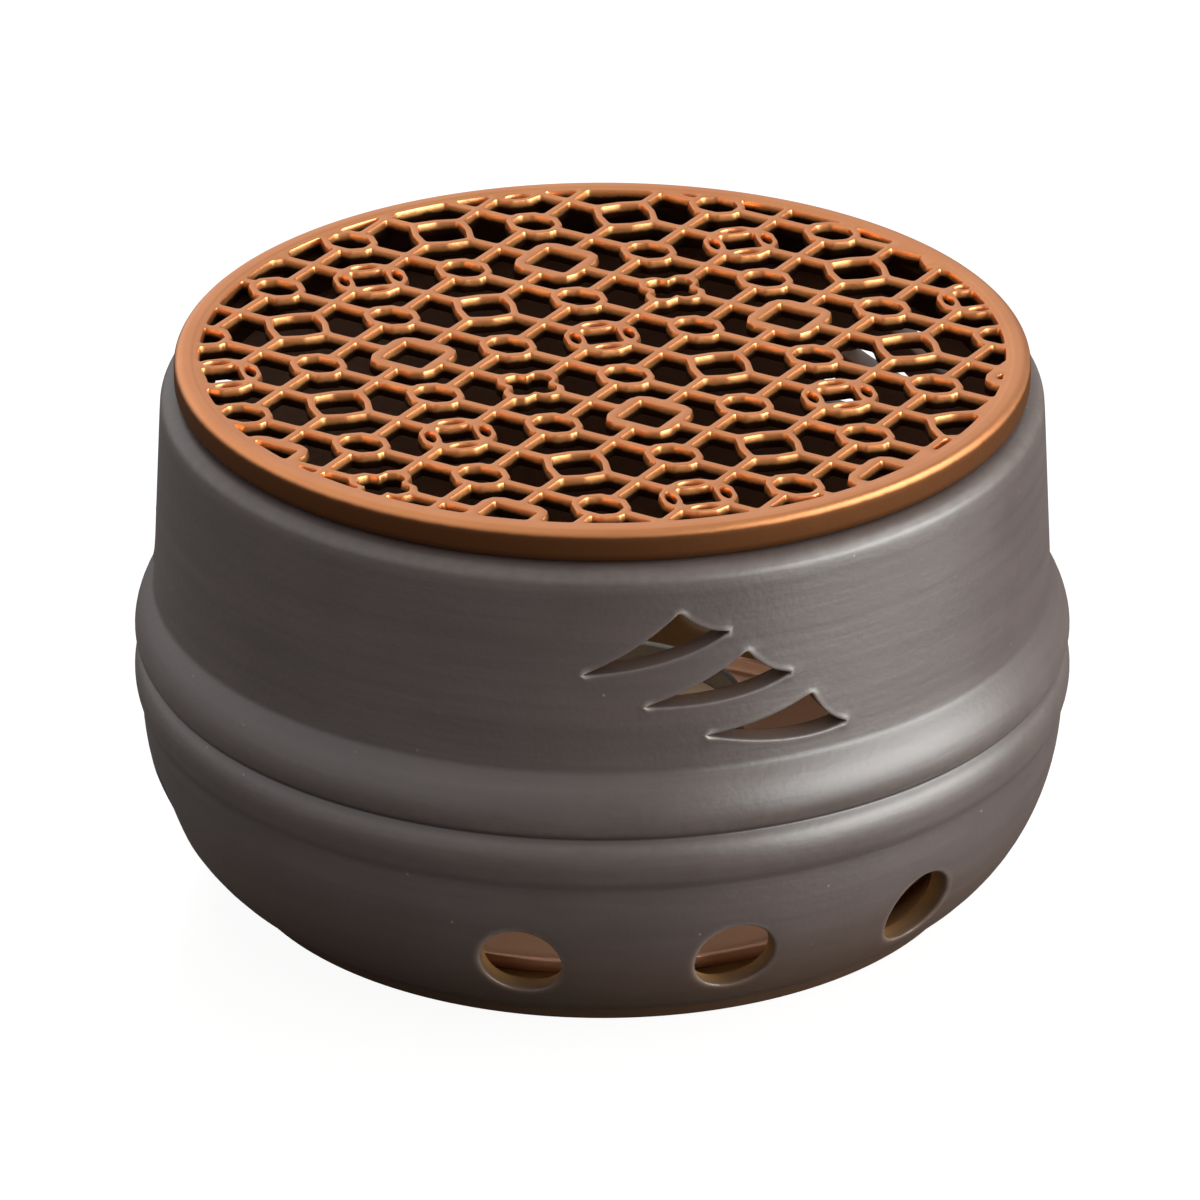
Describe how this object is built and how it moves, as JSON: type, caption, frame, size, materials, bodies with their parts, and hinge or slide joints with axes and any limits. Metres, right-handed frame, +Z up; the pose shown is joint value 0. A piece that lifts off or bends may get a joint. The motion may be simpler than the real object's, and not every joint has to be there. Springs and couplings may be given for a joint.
{
  "type": "teapot warmer",
  "caption": "Round stoneware teapot warmer with two raised ribs, fin vents and air holes, a copper openwork grate that lifts off, and a tealight on a saucer inside.",
  "frame": {"origin": "centre of the foot ring, on the surface that the warmer stands on", "axes": "+Z up along the warmer's axis, -Y towards the middle of the front group of vents"},
  "size_m": [0.1238, 0.1238, 0.073],
  "materials": {
    "stoneware": "satin dark glaze",
    "copper_casting": "satin antique copper",
    "copper_sheet": "satin copper",
    "aluminium_foil": "bright drawn",
    "candle_wax": "smooth waxy",
    "tinned_steel": "bright",
    "cotton_wick": "waxed braid"
  },
  "bodies": {
    "drum": {"stoneware_body": "stoneware"},
    "grate": {"copper_grate": "copper_casting"},
    "saucer": {"candle_saucer": "copper_sheet"},
    "tealight": {"tealight_cup": "aluminium_foil", "tealight_wax": "candle_wax", "wick_tab": "tinned_steel", "wick": "cotton_wick"}
  },
  "joints": [
    {"name": "grate_lift", "type": "slide", "parent": "drum", "child": "grate", "axis": [0, 0, 1], "range_m": [0, 0.06]},
    {"name": "saucer_lift", "type": "slide", "parent": "drum", "child": "saucer", "axis": [0, 0, 1], "range_m": [0, 0.02]},
    {"name": "tealight_lift", "type": "slide", "parent": "saucer", "child": "tealight", "axis": [0, 0, 1], "range_m": [0, 0.018]}
  ]
}
